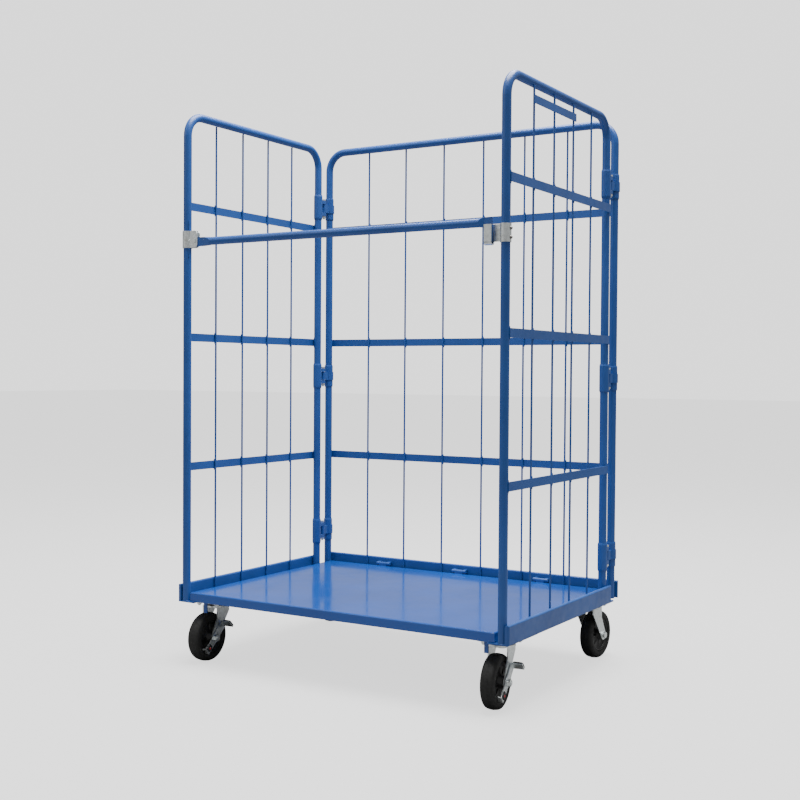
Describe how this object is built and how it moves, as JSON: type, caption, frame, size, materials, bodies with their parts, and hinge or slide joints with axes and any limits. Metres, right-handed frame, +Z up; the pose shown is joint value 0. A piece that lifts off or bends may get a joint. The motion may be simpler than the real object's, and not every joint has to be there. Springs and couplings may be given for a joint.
{
  "type": "roll cage container",
  "caption": "Three-sided mesh roll cage with a fold-up deck, swing-out side panels, a drop-in front bar and swivel castors.",
  "frame": {"origin": "middle of the footprint at floor level", "axes": "+X along the open front to the right, +Y from the open front to the back panel, +Z up"},
  "size_m": [1.139, 0.8512, 1.7],
  "materials": {
    "blue_paint": "semi-gloss powder coat",
    "deck_paint": "glossy powder coat",
    "zinc_plate": "bright zinc plate",
    "rivet_steel": "plain steel",
    "bearing_seal": "dark seal",
    "black_hub": "moulded",
    "tyre_rubber": "matt rubber",
    "pedal_rubber": "ribbed rubber"
  },
  "bodies": {
    "back_panel": {"back_frame_tube": "blue_paint", "back_mesh_wires": "blue_paint", "back_flats": "blue_paint", "back_rail": "blue_paint", "back_hinge_straps": "blue_paint", "hinge_bolts": "zinc_plate", "deck_hinge_brackets": "blue_paint", "deck_hinge_pins": "blue_paint"},
    "left_panel": {"left_frame_tube": "blue_paint", "left_wires": "blue_paint", "left_flats": "blue_paint", "left_rail": "blue_paint", "left_ledge": "blue_paint", "left_hinge_saddles": "blue_paint", "left_castor_pads": "blue_paint", "left_castor_plates": "zinc_plate", "left_kingpins": "zinc_plate", "left_castor_bolts": "zinc_plate", "left_swivel_bearings": "bearing_seal", "bar_stops": "blue_paint"},
    "right_panel": {"right_frame_tube": "blue_paint", "right_wires": "blue_paint", "right_flats": "blue_paint", "right_rail": "blue_paint", "right_ledge": "blue_paint", "right_hinge_saddles": "blue_paint", "right_castor_pads": "blue_paint", "right_castor_plates": "zinc_plate", "right_kingpins": "zinc_plate", "right_castor_bolts": "zinc_plate", "right_swivel_bearings": "bearing_seal", "label_plate": "blue_paint", "bar_hook": "zinc_plate", "hook_rivets": "rivet_steel"},
    "deck": {"deck_pan": "deck_paint", "deck_ribs": "blue_paint", "deck_hinge_lugs": "blue_paint"},
    "bar_collar": {"bar_collar": "zinc_plate", "bar_rivet": "zinc_plate"},
    "front_bar": {"front_bar": "blue_paint"},
    "fl_swivel": {"fl_fork": "zinc_plate", "fl_axle": "zinc_plate"},
    "fl_wheel": {"fl_rim": "black_hub", "fl_tyre": "tyre_rubber"},
    "fl_brake": {"fl_brake_lever": "zinc_plate", "fl_brake_pad": "pedal_rubber"},
    "fr_swivel": {"fr_fork": "zinc_plate", "fr_axle": "zinc_plate"},
    "fr_wheel": {"fr_rim": "black_hub", "fr_tyre": "tyre_rubber"},
    "fr_brake": {"fr_brake_lever": "zinc_plate", "fr_brake_pad": "pedal_rubber"},
    "rl_swivel": {"rl_fork": "zinc_plate", "rl_axle": "zinc_plate"},
    "rl_wheel": {"rl_rim": "black_hub", "rl_tyre": "tyre_rubber"},
    "rr_swivel": {"rr_fork": "zinc_plate", "rr_axle": "zinc_plate"},
    "rr_wheel": {"rr_rim": "black_hub", "rr_tyre": "tyre_rubber"}
  },
  "joints": [
    {"name": "left_panel_hinge", "type": "hinge", "parent": "back_panel", "child": "left_panel", "pos_m": [-0.545, 0.33452, 0.886], "axis": [0, 0, -1], "range_deg": [0, 78]},
    {"name": "right_panel_hinge", "type": "hinge", "parent": "back_panel", "child": "right_panel", "pos_m": [0.545, 0.33452, 0.886], "axis": [0, 0, 1], "range_deg": [0, 78]},
    {"name": "deck_hinge", "type": "hinge", "parent": "back_panel", "child": "deck", "pos_m": [0, 0.36902, 0.224], "axis": [-1, 0, 0], "range_deg": [0, 88]},
    {"name": "collar_turn", "type": "hinge", "parent": "left_panel", "child": "bar_collar", "pos_m": [-0.545, -0.39298, 1.2955], "axis": [0, 0, 1], "range_deg": [0, 78]},
    {"name": "bar_lift", "type": "hinge", "parent": "bar_collar", "child": "front_bar", "pos_m": [-0.513, -0.39298, 1.2995], "axis": [0, -1, 0], "range_deg": [0, 70]},
    {"name": "fl_swivel_turn", "type": "hinge", "parent": "left_panel", "child": "fl_swivel", "pos_m": [-0.5, -0.30498, 0.172], "axis": [0, 0, 1], "continuous": true},
    {"name": "fl_wheel_spin", "type": "hinge", "parent": "fl_swivel", "child": "fl_wheel", "pos_m": [-0.49922, -0.34997, 0.075], "axis": [0.9998, 0.0175, 0], "continuous": true},
    {"name": "fl_brake_press", "type": "hinge", "parent": "fl_swivel", "child": "fl_brake", "pos_m": [-0.49922, -0.34997, 0.075], "axis": [-0.9998, -0.0175, 0], "range_deg": [0, 18]},
    {"name": "fr_swivel_turn", "type": "hinge", "parent": "right_panel", "child": "fr_swivel", "pos_m": [0.5, -0.30498, 0.172], "axis": [0, 0, 1], "continuous": true},
    {"name": "fr_wheel_spin", "type": "hinge", "parent": "fr_swivel", "child": "fr_wheel", "pos_m": [0.5047, -0.34973, 0.075], "axis": [0.9945, 0.1045, 0], "continuous": true},
    {"name": "fr_brake_press", "type": "hinge", "parent": "fr_swivel", "child": "fr_brake", "pos_m": [0.5047, -0.34973, 0.075], "axis": [-0.9945, -0.1045, 0], "range_deg": [0, 18]},
    {"name": "rl_swivel_turn", "type": "hinge", "parent": "left_panel", "child": "rl_swivel", "pos_m": [-0.5, 0.30502, 0.172], "axis": [0, 0, 1], "continuous": true},
    {"name": "rl_wheel_spin", "type": "hinge", "parent": "rl_swivel", "child": "rl_wheel", "pos_m": [-0.51316, 0.34806, 0.075], "axis": [-0.9563, -0.2924, 0], "continuous": true},
    {"name": "rr_swivel_turn", "type": "hinge", "parent": "right_panel", "child": "rr_swivel", "pos_m": [0.5, 0.30502, 0.172], "axis": [0, 0, 1], "continuous": true},
    {"name": "rr_wheel_spin", "type": "hinge", "parent": "rr_swivel", "child": "rr_wheel", "pos_m": [0.50353, 0.34988, 0.075], "axis": [-0.9969, 0.0785, 0], "continuous": true}
  ],
  "couplings": [
    {"joint": "collar_turn", "follows": "left_panel_hinge", "ratio": 1}
  ]
}
